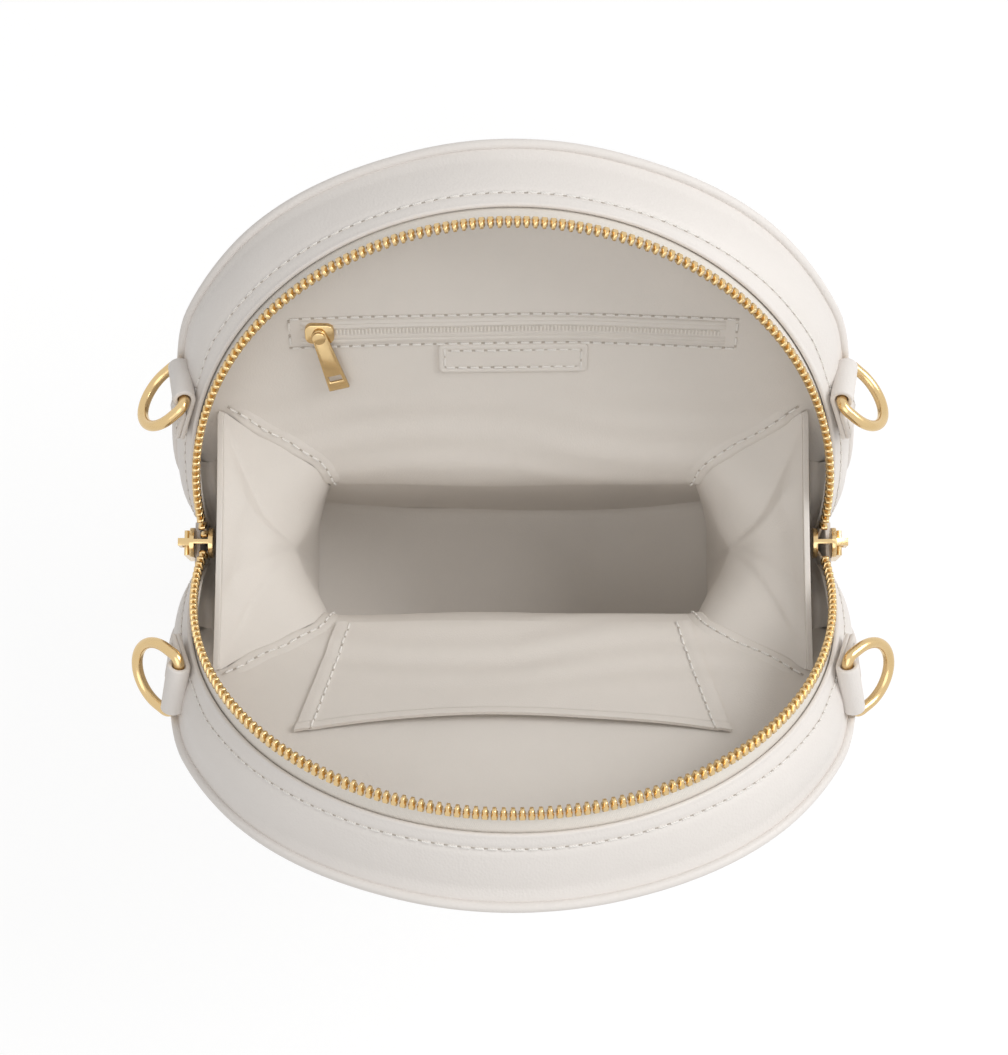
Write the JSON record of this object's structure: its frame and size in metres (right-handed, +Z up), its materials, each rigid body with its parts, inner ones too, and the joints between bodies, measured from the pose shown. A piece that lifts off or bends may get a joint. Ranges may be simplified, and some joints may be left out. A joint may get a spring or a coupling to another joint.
{
  "type": "circle bag",
  "caption": "Round leather drum bag that opens like a clamshell on a curved zip, with strap rings, soft side gussets, a zip pocket and a slip pocket.",
  "frame": {"origin": "middle of the underside, on the level surface that the bag stands on", "axes": "+X across the bag towards its right side, +Y from the front half to the back half, +Z up"},
  "size_m": [0.2368, 0.2198, 0.1961],
  "materials": {
    "leather": "smooth off-white leather, low sheen",
    "lining": "matt off-white lining leather",
    "padding": "soft wadding",
    "zip_tape": "woven cream tape",
    "gold_metal": "polished gold plating",
    "base_board": "plain stiffener",
    "pocket_cloth": "thin plain cloth"
  },
  "bodies": {
    "back_half": {"upper_back_panel": "leather", "back_band": "leather", "back_piping": "leather", "back_padding": "padding", "back_zip_tape": "zip_tape", "back_right_tab": "leather", "back_left_tab": "leather", "back_lining": "lining", "back_zip_teeth": "gold_metal", "pocket_zip_coil": "zip_tape", "pocket_zip_tape": "zip_tape", "pocket_pouch": "pocket_cloth", "label_patch": "leather"},
    "front_half": {"upper_front_panel": "leather", "front_band": "leather", "front_piping": "leather", "front_padding": "padding", "front_zip_tape": "zip_tape", "front_right_tab": "leather", "front_left_tab": "leather", "front_lining": "lining", "front_zip_teeth": "gold_metal", "slip_pocket": "lining"},
    "back_right_ring": {"back_right_ring": "gold_metal"},
    "back_left_ring": {"back_left_ring": "gold_metal"},
    "front_right_ring": {"front_right_ring": "gold_metal"},
    "front_left_ring": {"front_left_ring": "gold_metal"},
    "pocket_slider": {"pocket_slider": "gold_metal"},
    "pocket_pull": {"pocket_pull": "gold_metal"},
    "left_slider": {"left_zip_slider": "gold_metal"},
    "right_slider": {"right_zip_slider": "gold_metal"},
    "left_pull": {"left_zip_pull": "gold_metal"},
    "right_pull": {"right_zip_pull": "gold_metal"},
    "base": {"lower_back_panel": "leather", "lower_front_panel": "leather", "lower_back_padding": "padding", "lower_front_padding": "padding", "lower_back_lining": "lining", "lower_front_lining": "lining", "lower_back_piping": "leather", "lower_front_piping": "leather", "bottom_band": "leather", "floor_lining": "lining", "base_board": "base_board", "right_gusset": "leather", "left_gusset": "leather"}
  },
  "joints": [
    {"name": "back_fold", "type": "hinge", "parent": "base", "child": "back_half", "pos_m": [0, 0.0291, 0.1007], "axis": [1, 0, 0], "range_deg": [0, 44], "deforming": ["left_gusset", "right_gusset"]},
    {"name": "front_fold", "type": "hinge", "parent": "base", "child": "front_half", "pos_m": [0, -0.0291, 0.1007], "axis": [-1, 0, 0], "range_deg": [0, 44]},
    {"name": "left_zip", "type": "hinge", "parent": "base", "child": "left_slider", "pos_m": [0, 0, 0.1038], "axis": [0, 1, 0], "range_deg": [0, 80]},
    {"name": "right_zip", "type": "hinge", "parent": "base", "child": "right_slider", "pos_m": [0, 0, 0.1038], "axis": [0, -1, 0], "range_deg": [0, 80]},
    {"name": "left_pull_flip", "type": "hinge", "parent": "left_slider", "child": "left_pull", "pos_m": [-0.10578, 0, 0.11325], "axis": [0, 1, 0], "range_deg": [0, 100]},
    {"name": "right_pull_flip", "type": "hinge", "parent": "right_slider", "child": "right_pull", "pos_m": [0.10578, 0, 0.11325], "axis": [0, -1, 0], "range_deg": [0, 100]},
    {"name": "pocket_zip", "type": "slide", "parent": "back_half", "child": "pocket_slider", "axis": [1, 0, 0], "range_m": [0, 0.12]},
    {"name": "pocket_pull_swing", "type": "hinge", "parent": "pocket_slider", "child": "pocket_pull", "pos_m": [-0.05999, 0.06141, 0.14475], "axis": [0, 0.7071, -0.7071], "range_deg": [-60, 90]},
    {"name": "back_right_ring_swing", "type": "hinge", "parent": "back_half", "child": "back_right_ring", "pos_m": [0.10319, 0.04714, 0.14016], "axis": [0.2279, 0.7447, -0.6273], "range_deg": [-127, 18]},
    {"name": "back_left_ring_swing", "type": "hinge", "parent": "back_half", "child": "back_left_ring", "pos_m": [-0.10319, 0.04714, 0.14016], "axis": [0.2279, -0.7447, 0.6273], "range_deg": [-127, 18]},
    {"name": "front_right_ring_swing", "type": "hinge", "parent": "front_half", "child": "front_right_ring", "pos_m": [0.10319, -0.04714, 0.14016], "axis": [-0.2279, 0.7447, 0.6273], "range_deg": [-127, 18]},
    {"name": "front_left_ring_swing", "type": "hinge", "parent": "front_half", "child": "front_left_ring", "pos_m": [-0.10319, -0.04714, 0.14016], "axis": [-0.2279, -0.7447, -0.6273], "range_deg": [-127, 18]}
  ],
  "couplings": [
    {"joint": "front_fold", "follows": "back_fold", "ratio": 1},
    {"joint": "left_zip", "follows": "back_fold", "ratio": 1.818},
    {"joint": "right_zip", "follows": "back_fold", "ratio": 1.818}
  ]
}
